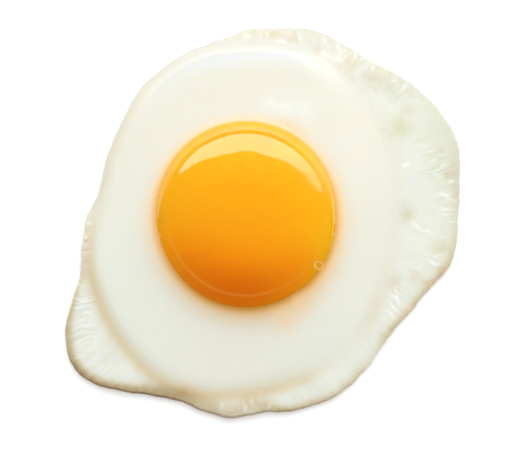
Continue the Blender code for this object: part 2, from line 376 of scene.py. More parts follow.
print(f"where the yolk meets the white: {skin_height(shown[None]).mean():.1f} mm high")
print(f"at the foot: {skin_height(foot[None]).mean():.1f} mm high")

# %% [markdown]
# ## Skins
# Each piece is one closed skin, lofted through rings. The yolk and the white share one upper face, so they
# meet flush, a hair's gap apart. There each turns straight down for a very short way, then runs out to the
# yolk's waist and down round its belly. A grid of rings and bearings is plain to make with arrays, and the
# rings can crowd together where the relief is fine.

# %% Loft a grid of rings into a mesh
def loft(name, rings, first_pole, last_pole):
    """One closed skin through (reach, height) rings, from a point to a point."""
    reach = np.vstack([reach for reach, height in rings])
    height = np.vstack([height for reach, height in rings])
    count = len(reach)
    points = np.stack([reach * np.cos(angles), reach * np.sin(angles), height], axis=-1).reshape(-1, 3)
    points = np.vstack([points, [first_pole, last_pole]]) * MM
    here = np.arange(count * AROUND).reshape(count, AROUND)
    there = np.roll(here, -1, axis=1)
    quads = np.stack([here[:-1], here[1:], there[1:], there[:-1]], axis=-1).reshape(-1, 4)
    first = np.full(AROUND, count * AROUND)
    inner = np.stack([first, here[0], there[0]], axis=-1)
    outer = np.stack([first + 1, there[-1], here[-1]], axis=-1)
    piece = closed_piece(name, points, quads.tolist() + inner.tolist() + outer.tolist())
    print(f"{name}: {2 * len(quads) + len(inner) + len(outer)} triangles")
    return piece, reach


def closed_piece(name, points, faces):
    mesh = bpy.data.meshes.new(name)
    mesh.from_pydata(points.tolist(), [], faces)
    mesh.validate()
    mesh.shade_smooth()
    piece = bpy.data.objects.new(name, mesh)
    bpy.context.scene.collection.objects.link(piece)
    return piece


def store(piece, name, values):
    """Stores one number for each point of a piece."""
    values = np.asarray(values, np.float32)
    piece.data.attributes.new(name, "FLOAT", "POINT").data.foreach_set("value", values)


def mark(piece, name, values):
    """Stores one number for each point of the grid, and the end rings' means for the poles."""
    store(piece, name, np.concatenate([values.reshape(-1), [values[0].mean(), values[-1].mean()]]))


print(f"every ring has {AROUND} points")


# %% Rings of the white
SEAT_TURNS = (-62, -42, -25, -11, 0)
SEAT_INSET = 0.05
SEAM = 0.005
CORNER = 0.03
EDGE_ROUND = 0.5
SKIRT_RINGS = 22
BEND_TURNS = np.radians(np.linspace(60, -90, 5))[:, None]
BEND_RINGS_ON_TOP = 3
UNDER_RINGS = (0.1, 0.35, 0.7, 0.95)
FLAT_RINGS = (0.8, 0.4)

# From the yolk to the foot, closest together at both ends.
steps = (np.linspace(0, 0.15, 6)[:-1], np.linspace(0.15, 0.75, 7)[:-1], np.linspace(0.75, 1, 8))
shares = np.concatenate(steps)[:, None]
lip = shown + SEAM
thick_reach = lip + CORNER + shares * (foot - lip - CORNER)
thin_reach = foot + np.linspace(0, 1, SKIRT_RINGS + 1)[1:, None] * (rim - EDGE_ROUND - foot)
upper_reach = np.vstack([thick_reach, thin_reach])
upper_height = skin_height(upper_reach)
wall_reach = np.array([lip, lip])
wall_height = skin_height(wall_reach) - [[CORNER], [0]]
print(f"{len(upper_reach)} rings on the upper face")

# %% The white
edge_low = curl(rim[None] - EDGE_ROUND)[0]
edge_half = (upper_height[-1] - edge_low) / 2
bend_reach = rim - EDGE_ROUND + EDGE_ROUND * np.cos(BEND_TURNS)
bend_height = edge_low + edge_half + edge_half * np.sin(BEND_TURNS)
under_reach = np.array([rim - EDGE_ROUND - CURL_WIDTH * share for share in UNDER_RINGS])

white_rings = [belly(turn, gap=-SEAT_INSET) for turn in SEAT_TURNS]
white_rings += [(wall_reach, wall_height), (upper_reach, upper_height), (bend_reach, bend_height)]
white_rings.append((under_reach, curl(under_reach)))
white_rings += [(under_reach[-1] * share, 0 * rim) for share in FLAT_RINGS]
white, white_reach = loft("egg_white", white_rings, (0, 0, yolk_floor), (0, 0, 0))

# %% [markdown]
# ## Where the white changes
# Set white is never one colour. The yolk's orange soaks into it, fat browns it where it is thin, and where it
# is thinnest it is almost clear. Some marks are painted light: highlights, glints, a glow and shade. Each of
# these is a mark: one number, mostly from 0 to 1, stored at every point of the mesh, which the material reads
# later. Marks follow the egg's own lines, the yolk, the foot and the rim, so a band needs only its distance
# from a line, and its strength at a few bearings.

# %% Bands and blots
BLOT_RAGGED = 0.7
turn_over = len(SEAT_TURNS) + len(wall_reach) + len(upper_reach) + BEND_RINGS_ON_TOP
is_under = np.zeros_like(white_reach)
is_under[turn_over:] = 1
is_over = 1 - is_under
ragged = swell(white_reach, size=1.3, seed=12.0)
past_yolk = np.clip(white_reach - shown, 0, None)
past_foot = white_reach - foot
inside_rim = np.clip(rim - white_reach, 0, None)
marks = {"under": is_under}


def band(away, width, power=2):
    """1 on a line, falling to 0 about width mm away from it."""
    return np.exp(-((away / width) ** power))


def blots(places, unevenness):
    """Soft ragged marks at named places, the strongest at each point."""
    x, y = white_reach * np.cos(angles), white_reach * np.sin(angles)
    found = np.zeros_like(white_reach)
    for bearing, middle, radius, strength in places:
        turn = math.radians(bearing)
        away = np.hypot(x - middle * math.cos(turn), y - middle * math.sin(turn))
        away = away * (1 + BLOT_RAGGED * unevenness * ragged)
        found = np.maximum(found, strength * band(away, radius))
    return found


print(f"{turn_over} of {len(white_reach)} rings face up")

# %% [markdown]
# ### Beside the yolk
# Orange soaks a millimetre or two into the white and fades evenly, so that mark is an exponential. On the
# side away from the light a painted shadow of the yolk darkens it a little, the peach streaks are a painted
# glow of light that passed through the yolk, and a pale patch beyond them is a painted highlight. Scattering
# is faded out close to the yolk, or it would wash the orange away.

# %% Marks beside the yolk
BLEED = (
    (0, 1.5), (30, 1.3), (60, 1.2), (90, 1.1), (120, 1.1), (150, 1.2), (180, 1.4), (210, 1.5), (240, 1.6),
    (270, 1.7), (300, 1.8), (330, 1.6),
)
BLEED_DEPTH = (
    (0, 0.8), (60, 0.65), (90, 0.55), (120, 0.6), (150, 0.7), (180, 0.8), (210, 0.8), (240, 0.9),
    (270, 1.0), (300, 1.0), (330, 0.9),
)
SHADE = (
    (0, 0.2), (40, 0.1), (70, 0.0), (150, 0.0), (180, 0.1), (210, 0.3), (235, 0.7), (270, 1.0), (300, 0.8),
    (330, 0.45),
)
SHADE_DEPTH = 0.8
SHADE_REACH = 2.2
BOUND_REACH = 1.8
# Bearing and reach of the middle, radius in mm, and strength from 0 to 1.
YOLK_GLOW_SPOTS = (
    (69.0, 23.6, 0.9, 0.4), (66.0, 23.7, 0.9, 0.65), (63.0, 23.8, 0.9, 0.7), (60.0, 23.8, 0.9, 0.65),
    (57.0, 23.7, 0.9, 0.5), (54.0, 23.8, 1.0, 0.35), (290.0, 26.3, 2.8, 0.55), (300.0, 24.6, 2.5, 0.6),
)
PAINTED_SHEEN_SPOTS = ((78.0, 26.2, 2.6, 0.6), (70.0, 27.0, 2.6, 0.6), (62.0, 28.4, 2.6, 0.5))
marks["bleed"] = np.exp(-past_yolk / around(BLEED, bearings)) * around(BLEED_DEPTH, bearings)
marks["shade"] = SHADE_DEPTH * np.exp(-past_yolk / SHADE_REACH) * around(SHADE, bearings)
# A painted glow: warm light that passed through the yolk, laid on the white as peach.
marks["peach"] = blots(YOLK_GLOW_SPOTS, 0.4)
# A painted highlight: a pale patch on the white beyond the yolk's far right side.
marks["pale"] = blots(PAINTED_SHEEN_SPOTS, 0.4)
print(f"orange soaks {min(v for b, v in BLEED):.1f} to {max(v for b, v in BLEED):.1f} mm into the white")

# %% [markdown]
# ### Browning, and painted shade at the rim
# The skirt browns from its edge inwards, most on the near left side: a thin dark line, then a tan band, then
# a faint grey one. The dark line is partly browning and partly painted shade, where the rim faces away from
# the light. Elsewhere the browning is fainter, with some tan on the near right side. A thin grey line along
# the far right rim is painted shade on its rounded edge. The crease at the foot of the thick white on the
# near side is darker and tan, partly browning and partly painted shade, and fat also browns a few small
# spots.
# Scattering is faded out at the browned rim, to keep its line sharp.

# %% Marks of browning, and of painted shade at the rim
CREASE = (
    (0, 0.0), (120, 0.0), (165, 0.1), (178, 0.25), (190, 0.6), (203, 0.75), (215, 0.75), (230, 0.7),
    (245, 0.7), (262, 0.7), (285, 0.6), (298, 0.15), (312, 0.1), (325, 0.3), (335, 0.1),
)
CREASE_OUT = ((0, 0.0), (180, -0.2), (200, -0.6), (225, -0.1), (245, 0.0), (270, 0.0), (300, -0.4))
CREASE_WIDTH = 1.6
EDGE = (
    (0, 0.15), (20, 0.1), (45, 0.05), (75, 0.08), (100, 0.05), (130, 0.05), (160, 0.1), (185, 0.1),
    (206, 0.05), (216, 0.25), (226, 0.8), (242, 1.0), (254, 0.75), (270, 0.6), (288, 0.45), (296, 0.35),
    (304, 0.2), (312, 0.15), (335, 0.15), (352, 0.15),
)
EDGE_WIDTH = 0.45
EDGE_BOUND = 0.9
EDGE_BOUND_WIDTH = 1.5
SMUDGE = (
    (0, 0.12), (12, 0.2), (26, 0.05), (50, 0.03), (90, 0.03), (130, 0.1), (156, 0.15), (172, 0.12),
    (192, 0.1), (202, 0.38), (208, 0.52), (216, 0.58), (224, 0.8), (232, 0.75), (240, 0.75), (248, 0.68),
    (256, 0.48), (264, 0.48), (272, 0.34), (280, 0.6), (288, 0.5), (296, 0.4), (304, 0.42), (312, 0.12),
    (320, 0.45), (336, 0.45), (344, 0.5), (352, 0.3),
)
SMUDGE_WIDTH = (
    (0, 1.6), (12, 3.0), (30, 2.0), (150, 2.5), (175, 1.5), (200, 1.4), (208, 1.7), (216, 2.0), (224, 1.9),
    (232, 2.0), (240, 2.4), (248, 2.9), (256, 3.6), (264, 2.6), (272, 4.0), (280, 1.6), (288, 1.5),
    (345, 1.6),
)
GREYED = (
    (0, 0.3), (30, 0.1), (60, 0.0), (190, 0.0), (206, 0.5), (218, 1.0), (245, 1.0), (262, 0.9), (285, 0.7),
    (305, 0.5), (330, 0.3),
)
GREYED_WIDTH = 3.0
RIM_SHADE = ((0, 0.25), (20, 0.3), (45, 0.5), (100, 0.5), (125, 0.3), (150, 0.1), (180, 0.0), (330, 0.0))
RIM_SHADE_WIDTH = 0.5
# Bearing and reach of the middle, radius in mm, and strength from 0 to 1.
SPOTS = (
    (31.2, 42.6, 2.3, 0.20), (33.8, 47.0, 1.3, 0.22), (24.5, 46.0, 0.9, 0.2), (19.6, 48.6, 1.3, 0.22),
    (12.6, 48.6, 1.0, 0.3), (1.2, 38.1, 1.5, 0.30), (351.4, 46.2, 1.7, 0.38), (345.0, 47.2, 1.0, 0.45),
    (339.5, 45.0, 1.1, 0.6), (198.5, 42.0, 1.2, 0.4), (341.0, 42.0, 1.6, 0.25), (336.2, 37.9, 1.7, 0.35),
    (318.5, 42.4, 1.6, 0.2), (75.8, 45.5, 1.3, 0.35), (81.2, 45.7, 1.2, 0.30), (67.5, 44.6, 1.2, 0.35),
    (57.0, 45.6, 2.4, 0.32), (48.0, 46.0, 2.4, 0.35), (43.5, 47.2, 1.4, 0.2), (231.3, 48.9, 0.30, 0.50),
    (239.5, 45.5, 2.6, 0.12), (226.0, 44.6, 2.6, 0.10), (271.5, 43.3, 1.0, 0.15), (258.0, 44.8, 2.2, 0.12),
)
edge_strength = around(EDGE, bearings)
from_crease = past_foot - around(CREASE_OUT, bearings)
at_rim = EDGE_BOUND * band(inside_rim, EDGE_BOUND_WIDTH) * edge_strength
marks["bound"] = np.maximum(band(past_yolk, BOUND_REACH), at_rim)
# The crease is darker and tan: partly browning, partly painted shade where it faces away from the light.
marks["crease"] = band(from_crease, CREASE_WIDTH) * around(CREASE, bearings)
# The dark rim line: partly browning, partly painted shade where the rim faces away from the light.
marks["edge"] = band(inside_rim, EDGE_WIDTH) * edge_strength
marks["smudge"] = band(inside_rim, around(SMUDGE_WIDTH, bearings), power=3) * around(SMUDGE, bearings)
marks["greyed"] = band(inside_rim, GREYED_WIDTH) * around(GREYED, bearings)
# Painted shade: a thin grey line along the rounded far rim.
marks["grey"] = band(inside_rim, RIM_SHADE_WIDTH) * around(RIM_SHADE, bearings)
marks["spots"] = blots(SPOTS, 0.6)
print(f"{len(SPOTS)} brown spots")

# %% [markdown]
# ### Clear and cloudy, and painted light
# Thin white is half clear, so it looks greener and greyer than the mound, and the skirt is wetter than the
# mound. Its raised threads carry painted glints, and its small folds have a painted highlight on their raised
# sides and tan on their sunken ones. On the far shoulder a cool painted highlight lies in a band, with
# painted shade just outside it, where the mound turns down.

# %% Marks of clear and cloudy white, and of painted light
GREEN = (
    (0, 0.3), (60, 0.0), (130, 0.0), (160, 0.3), (190, 0.9), (230, 1.0), (265, 0.5), (300, 1.0), (330, 0.6),
)
CLEAR = (
    (0, 0.8), (40, 0.8), (70, 0.4), (95, 0.0), (150, 0.4), (190, 0.9), (225, 1.0), (260, 0.8), (330, 0.8),
)
CLEAR_START = 2.0
CLEAR_WIDTH = 4.0
GLASSY = (
    (0, 0.8), (14, 1.0), (30, 0.9), (42, 0.6), (60, 0.5), (90, 0.6), (125, 0.5), (170, 0.4), (190, 0.2),
    (230, 0.0), (325, 0.0), (345, 0.6),
)
GLASSY_WIDTH = (
    (0, 5.0), (20, 8.0), (40, 5.0), (60, 2.0), (100, 1.5), (150, 1.5), (200, 2.0), (300, 2.0), (340, 3.0),
)
HOLLOWS = (
    (31.0, 43.2, 3.8, 1.0), (17.0, 47.6, 3.0, 0.8), (25.0, 49.5, 3.0, 0.7), (1.2, 37.6, 2.6, 0.9),
    (42.0, 47.0, 2.8, 0.8), (351.0, 44.0, 2.5, 0.4), (354.0, 46.2, 2.2, 0.6), (357.0, 40.5, 1.6, 0.5),
    (35.0, 46.0, 2.2, 0.5),
)
FOLD_FADE = 2.0
SHOULDER_PAINTED_LIGHT = ((0, 0.0), (45, 0.0), (60, 0.5), (80, 1.0), (105, 0.9), (130, 0.25), (150, 0.0), (290, 0.0))
SHOULDER_HIGHLIGHT_INSIDE = 3.7
SHOULDER_HIGHLIGHT_WIDTH = 1.9
SHOULDER_SHADE_INSIDE = 0.2
SHOULDER_SHADE_WIDTH = 2.4
WET = (
    (0, 0.8), (30, 0.6), (50, 0.4), (65, 0.15), (90, 0.1), (110, 0.1), (150, 0.1), (180, 0.4), (205, 0.8),
    (260, 0.5), (300, 0.4), (330, 0.8),
)
WET_START = 4.0
WET_WIDTH = 3.0
marks["green"] = around(GREEN, bearings) * np.ones_like(white_reach)
marks["clear"] = np.clip((past_foot + CLEAR_START) / CLEAR_WIDTH, 0, 1) * around(CLEAR, bearings)
marks["glassy"] = band(inside_rim, around(GLASSY_WIDTH, bearings)) * around(GLASSY, bearings)
marks["hollow"] = blots(HOLLOWS, 1.0)
# Painted glints on the raised threads, where light catches them.
marks["streak"] = glint_threads(white_reach)
# The folds' raised sides get a painted highlight, and their sunken sides are tan.
marks["fold"] = puckers(white_reach) * np.clip(past_foot / FOLD_FADE, 0, 1)
# A painted highlight band on the far shoulder, and painted shade just outside it, where the mound turns down.
marks["cool"] = band(past_foot + SHOULDER_HIGHLIGHT_INSIDE, SHOULDER_HIGHLIGHT_WIDTH) * around(SHOULDER_PAINTED_LIGHT, bearings)
marks["dim"] = band(past_foot + SHOULDER_SHADE_INSIDE, SHOULDER_SHADE_WIDTH) * around(SHOULDER_PAINTED_LIGHT, bearings)
marks["wet"] = np.clip((past_foot + WET_START) / WET_WIDTH, 0, 1) * around(WET, bearings)
print(f"{len(HOLLOWS)} clear hollows")

# %% Store the marks of the white
BOTH_SIDES = ("under", "clear", "edge", "grey")
for name, values in marks.items():
    mark(white, name, values if name in BOTH_SIDES else values * is_over)
print(f"{len(marks)} marks on {len(white.data.vertices)} points")

# %% [markdown]
# ## The yolk
# A soft yolk is a bag of liquid under a very thin skin, so it is rounder and smoother than the
# white, and still not perfect: the skin has slow ripples, and faint dimples on the side that faces the light.
# Both show only where they bend a reflection, so they are real relief and not colour.

# %% The yolk
CAP_RINGS = 48
CAP_START = 0.02
RIPPLE = 0.04
RIPPLE_SIZE = 4.5
RIPPLE_FADE = 3.0
PUCKER = 0.015
PUCKER_WIDTH = 3.0
DIMPLE = 0.03
DIMPLE_SIZE = 2.6
DIMPLE_REACH = 14.5
DIMPLE_SPREAD = 3.0
DIMPLES = ((0, 0.3), (45, 1.0), (90, 1.0), (135, 1.0), (180, 0.3), (270, 0.0))
YOLK_INSET = 0.1

brim = shown - SEAM
cap_reach = (brim - CORNER) * np.linspace(CAP_START, 1, CAP_RINGS)[:, None]
flat_edge = np.clip((shown - cap_reach) / RIPPLE_FADE, 0, 1)
dimpled = band(cap_reach - DIMPLE_REACH, DIMPLE_SPREAD) * around(DIMPLES, bearings)
cap_height = skin_height(cap_reach) + RIPPLE * swell(cap_reach, RIPPLE_SIZE, seed=9.0) * flat_edge
cap_height += PUCKER * ring_noise(PUCKER_WIDTH, cap_reach, length=12.0, seed=31.0) * (cap_reach / shown) ** 2
cap_height += DIMPLE * swell(cap_reach, DIMPLE_SIZE, seed=21.0) * dimpled
hem_reach = np.array([brim, brim])
hem_height = skin_height(hem_reach) - [[0], [CORNER]]
yolk_rings = [(cap_reach, cap_height), (hem_reach, hem_height)]
yolk_rings += [belly(turn, gap=-YOLK_INSET) for turn in reversed(SEAT_TURNS)]
yolk_poles = (0, 0, cap_height[0].mean()), (0, 0, yolk_floor + YOLK_INSET)
yolk, yolk_reach = loft("egg_yolk", yolk_rings, *yolk_poles)

# %% [markdown]
# ## Where the yolk changes
# A thin film of white lies over the far border of the yolk, and on the near side its end shows as a fine
# line. The film is duller than the bare skin, so the bright reflection stops at it. The border on the +X
# side, where the light falls, is painted lighter and more golden as painted light, and the near side, which
# faces away from the light, gets painted shade in a deeper orange.

# %% Marks of the yolk
LIT_BORDER = (
    (0, 0.9), (45, 0.5), (90, 0.2), (135, 0.2), (180, 0.35), (225, 0.1), (270, 0.0), (305, 0.5), (335, 0.9),
)
# Strength, by bearing, of the painted shade on the yolk's near side.
NEAR_SHADE = ((0, 0.0), (150, 0.0), (195, 0.15), (225, 0.65), (265, 1.0), (290, 0.75), (315, 0.35), (340, 0.0))
NEAR_SHADE_REACH = 19.0
NEAR_SHADE_WIDTH = 6.6
FILM = ((0, 0.0), (45, 0.4), (90, 0.8), (135, 0.5), (180, 0.0), (225, 0.05), (270, 0.0))
FILM_REACH = 19.2
FILM_FADE = 0.5
DULL = (
    (0, 0.0), (30, 0.6), (50, 1.0), (90, 1.0), (130, 1.0), (160, 0.5), (180, 0.0), (225, 0.0), (270, 0.0),
    (315, 0.0),
)
TAIL = (
    (0, 0.0), (12, 0.2), (24, 0.4), (36, 0.25), (48, 0.05), (60, 0.0), (120, 0.0), (180, 0.0), (250, 0.0),
    (330, 0.0),
)
TAIL_START = 12.0
TAIL_WIDTH = 4.0
THREAD = (
    (0, 0.3), (30, 0.2), (60, 0.0), (150, 0.0), (185, 0.3), (215, 0.6), (240, 0.7), (262, 0.7), (285, 0.5),
    (330, 0.3),
)
THREAD_WIDTH = 0.14
film_line = FILM_REACH * shown / shown.mean()
past_line = np.clip((yolk_reach - film_line) / FILM_FADE, 0, 1)
tail = np.clip((yolk_reach - TAIL_START) / TAIL_WIDTH, 0, 1) * around(TAIL, bearings)
mark(yolk, "dull", np.maximum(past_line * around(DULL, bearings), tail))
# Painted light: the border on the lit +X side is painted lighter and more golden.
mark(yolk, "gold", (yolk_reach / shown) ** 2 * around(LIT_BORDER, bearings))
# Painted shade: the near side, away from the light, is painted a deeper orange.
mark(yolk, "deep", band(yolk_reach - NEAR_SHADE_REACH, NEAR_SHADE_WIDTH) * around(NEAR_SHADE, bearings))
mark(yolk, "film", past_line * around(FILM, bearings))
mark(yolk, "thread", band(yolk_reach - film_line, THREAD_WIDTH) * around(THREAD, bearings))
print(f"the film ends {film_line.min():.1f} to {film_line.max():.1f} mm from the middle")

# %% [markdown]
# ## The bubble
# One small bubble set where the yolk meets the white, and left a thin ring of white behind. A ring draped
# over the egg is a torus whose height is read from the skin below it, point by point.

# %% Skin below the bubble
BUBBLE_BEARING = 323.3
BUBBLE_REACH = 20.9
BUBBLE_SPAN = 1.6
BUBBLE_ROWS = 17
skin_rows = np.linspace(BUBBLE_REACH - BUBBLE_SPAN, BUBBLE_REACH + BUBBLE_SPAN, BUBBLE_ROWS)
skin_there = skin_height(skin_rows[:, None] + 0 * rim)


def skin_at(x, y):
    """Height of the egg's skin at one place near the bubble."""
    bearing = math.degrees(math.atan2(y, x)) % 360
    column = skin_there[:, round(bearing * AROUND / 360) % AROUND]
    return float(np.interp(math.hypot(x, y), skin_rows, column))


print(f"the skin there is {skin_there.min():.1f} to {skin_there.max():.1f} mm high round the yolk")

# %% The bubble
BUBBLE_RADIUS = 0.95
BUBBLE_THICK = 0.18
BUBBLE_UNEVEN = 0.25
BUBBLE_ROUND = 0.9
BUBBLE_FLAT = 0.5
BUBBLE_SUNK = 0.3
BUBBLE_TURN = 0.6
BUBBLE_BLEED = 0.62
RING_STEPS = 48
TUBE_STEPS = 14
turn = math.radians(BUBBLE_BEARING)
heading = np.linspace(0, 2 * math.pi, RING_STEPS, endpoint=False)[:, None]
tilt = np.linspace(0, 2 * math.pi, TUBE_STEPS, endpoint=False)
thick = BUBBLE_THICK * (1 + BUBBLE_UNEVEN * np.sin(heading * 2 + BUBBLE_TURN))
away = BUBBLE_RADIUS + thick * np.cos(tilt)
x = (BUBBLE_REACH * math.cos(turn) + away * np.cos(heading)).ravel()
y = (BUBBLE_REACH * math.sin(turn) + BUBBLE_ROUND * away * np.sin(heading)).ravel()
lift = (BUBBLE_FLAT * thick * (np.sin(tilt) - BUBBLE_SUNK)).ravel()
points = np.array([(p, q, skin_at(p, q) + up) for p, q, up in zip(x, y, lift)]) * MM
here = np.arange(len(points)).reshape(RING_STEPS, TUBE_STEPS)
there = np.roll(here, -1, axis=0)
quads = np.stack([here, there, np.roll(there, -1, axis=1), np.roll(here, -1, axis=1)], axis=-1)
bubble = closed_piece("bubble", points, quads.reshape(-1, 4).tolist())
for name, value in (("bleed", BUBBLE_BLEED), ("bound", 1.0)):
    store(bubble, name, np.full(len(points), value))
print(f"bubble: {2 * len(points)} triangles")

# %% [markdown]
# ## Finishes
# Cooked egg is lit from inside as much as from outside: light sinks in, scatters and comes out somewhere
# else, so both finishes rest on subsurface scattering under a wet, glossy surface. The marks above say where
# the colour changes. A small class wraps a node's socket, so that the sums on marks read as sums.

# %% A socket that can be added and multiplied
class Wire:
    """One output of a material's nodes. Arithmetic on wires adds the Math nodes that work it out."""

    def __init__(self, finish, socket):
        self.finish = finish
        self.socket = socket

    def math(self, operation, first, second, clamped=False):
        settings = {"operation": operation, "use_clamp": clamped}
        return self.finish.node("ShaderNodeMath", settings, {0: first, 1: second})

    def __add__(self, other):
        return self.math("ADD", self, other)

    def __rsub__(self, other):
        return self.math("SUBTRACT", other, self)

    def __mul__(self, other):
        return self.math("MULTIPLY", self, other)

    def clamped(self):
        return self.math("ADD", self, 0.0, clamped=True)

    __radd__ = __add__
    __rmul__ = __mul__


print("sums on wires:", "+, - and *")

# %% A material under construction
class Finish:
    """A material under construction."""

    def __init__(self, name):
        self.material = bpy.data.materials.new(name)
        self.material.use_nodes = True
        self.tree = self.material.node_tree
        self.tree.nodes.clear()
        self.place = self.node("ShaderNodeTexCoord", output="Object")

    def node(self, kind, settings=None, sockets=None, output=0):
        """A new node: its settings first, then the values or wires of its sockets. Gives one output."""
        node = self.tree.nodes.new(kind)
        for name, value in (settings or {}).items():
            if name == "stops":
                self.set_stops(node.color_ramp, value)
            else:
                setattr(node, name, value)
        for key, value in (sockets or {}).items():
            if isinstance(value, Wire):
                self.tree.links.new(value.socket, node.inputs[key])
            else:
                node.inputs[key].default_value = value
        return Wire(self, node.outputs[output])

    def set_stops(self, ramp, stops):
        while len(ramp.elements) < len(stops):
            ramp.elements.new(1.0)
        for element, (position, colour) in zip(ramp.elements, stops):
            element.position = position
            element.color = colour

    def mark(self, name):
        return self.node("ShaderNodeAttribute", {"attribute_name": name}, output="Fac")

    def mottle(self, size, detail=2.0, low=0.2, high=0.8):
        """Soft noise with features about size mm wide, stretched to the range 0 to 1."""
        sockets = {"Vector": self.place, "Scale": 1 / (size * MM), "Detail": detail}
        cloud = self.node("ShaderNodeTexNoise", sockets=sockets)
        sockets = {"Value": cloud, "From Min": low, "From Max": high}
        return self.node("ShaderNodeMapRange", {"interpolation_type": "SMOOTHSTEP"}, sockets)

    def tint(self, share, under, over, blend="MIX"):
        """Colour under, covered by colour over where the share is 1."""
        settings = {"data_type": "RGBA", "blend_type": blend}
        return self.node("ShaderNodeMix", settings, {0: share, 6: under, 7: over}, output=2)

    def skin(self, colour, roughness, bump, **constants):
        sockets = {"Base Color": colour, "Roughness": roughness, "Normal": bump, **constants}
        return self.node("ShaderNodeBsdfPrincipled", sockets=sockets)

    def done(self, shader):
        output = self.tree.nodes.new("ShaderNodeOutputMaterial")
        self.tree.links.new(shader.socket, output.inputs["Surface"])
        print(f"{self.material.name}: {len(self.tree.nodes)} nodes")
        return self.material


def rgb(red, green, blue):
    return (red, green, blue, 1.0)


print("marks to read:", ", ".join(marks))


# %% [markdown]
# ## Finish of the white
# The colour is built as a cook sees it happen: first the set white, cream on the mound and greener where it
# is thin, then the orange beside the yolk, then the browning on top. Painted highlights, glints, a glow and
# shade are laid in at each step. A tint that lays colour on covers what is below, as cloudiness does, and one
# that multiplies lets it show through, as browning does.

# %% Colours of the set white, with painted light
CREAM = rgb(0.795, 0.77, 0.68)


def set_colour_and_painted_light(finish, cloud):
    colour = finish.tint(cloud, CREAM, rgb(0.78, 0.77, 0.675))
    colour = finish.tint(finish.mark("green"), colour, rgb(0.775, 0.79, 0.705))
    colour = finish.tint(finish.mark("clear"), colour, rgb(0.79, 0.81, 0.75))
    colour = finish.tint(finish.mark("hollow"), colour, rgb(0.72, 0.745, 0.61))
    colour = finish.tint(finish.mark("glassy") * 0.62, colour, rgb(0.71, 0.74, 0.63))
    # Painted highlight on the far shoulder, then painted shade where the mound turns down.
    colour = finish.tint(finish.mark("cool") * 0.9, colour, rgb(0.79, 0.82, 0.81))
    colour = finish.tint(finish.mark("dim"), colour, rgb(0.92, 0.92, 0.93), blend="MULTIPLY")
    # Crease: partly browning, partly painted shade.
    colour = finish.tint(finish.mark("crease"), colour, rgb(0.90, 0.73, 0.48), blend="MULTIPLY")
    fold = finish.mark("fold")
    # Tan on the sunken side of each fold, and a painted highlight on the raised side.
    colour = finish.tint((fold * -0.5).clamped(), colour, rgb(0.74, 0.67, 0.50))
    return finish.tint((fold * 0.4).clamped(), colour, rgb(0.85, 0.87, 0.85))


print("cream:", CREAM[:3])

# %% Colours beside the yolk, with painted light
def yolk_colour_and_painted_light(finish, colour):
    # Painted highlight near the yolk.
    colour = finish.tint(finish.mark("pale"), colour, rgb(0.84, 0.87, 0.86))
    bleed = finish.mark("bleed")
    stops = (
        (0.0, CREAM), (0.08, rgb(0.80, 0.75, 0.63)), (0.2, rgb(0.85, 0.71, 0.50)),
        (0.4, rgb(0.94, 0.62, 0.30)), (0.7, rgb(0.99, 0.46, 0.09)), (1.0, rgb(0.99, 0.36, 0.01)),
    )
    orange = finish.node("ShaderNodeValToRGB", {"stops": stops}, {"Fac": bleed})
    colour = finish.tint((bleed * 20.0).clamped(), colour, orange)
    colour = finish.tint(finish.mark("shade"), colour, rgb(0.48, 0.58, 0.72), blend="MULTIPLY")
    # Painted glow of light through the yolk.
    return finish.tint(finish.mark("peach"), colour, rgb(0.87, 0.62, 0.37))


print(f"{len(YOLK_GLOW_SPOTS)} peach streaks")

# %% Colours of browning, with painted glints and shade
def browning_and_painted_light(finish, colour, edge):
    patchy = finish.mottle(1.6, detail=4.0, low=0.3, high=0.7)
    browned = (finish.mark("smudge") * (0.88 + 0.24 * patchy)).clamped()
    spots = (finish.mark("spots") * (0.7 + 0.6 * patchy)).clamped()
    tan = finish.tint(browned, rgb(0.88, 0.56, 0.10), rgb(0.46, 0.25, 0.06))
    colour = finish.tint(finish.mark("greyed"), colour, rgb(0.80, 0.82, 0.79), blend="MULTIPLY")
    colour = finish.tint(browned, colour, tan, blend="MULTIPLY")
    colour = finish.tint(spots, colour, rgb(0.64, 0.54, 0.29))
    # Painted glints: the raised threads are painted near white.
    colour = finish.tint(finish.mark("streak") * 0.85, colour, rgb(0.93, 0.94, 0.93))
    # Dark rim line: partly browning, partly painted shade on the near side.
    colour = finish.tint(edge, colour, rgb(0.18, 0.09, 0.036))
    # Painted shade along the far rim.
    colour = finish.tint(finish.mark("grey"), colour, rgb(0.40, 0.41, 0.42))
    crust = finish.mottle(2.2, detail=6.0, low=0.3, high=0.7)
    golden = finish.tint(crust, rgb(0.78, 0.60, 0.33), rgb(0.45, 0.22, 0.07))
    return finish.tint(finish.mark("under"), colour, golden)


print(f"browned rim strongest at bearing {bearings[edge_strength.argmax()]:.0f}")

# %% The white's material
SCATTER = 1.6


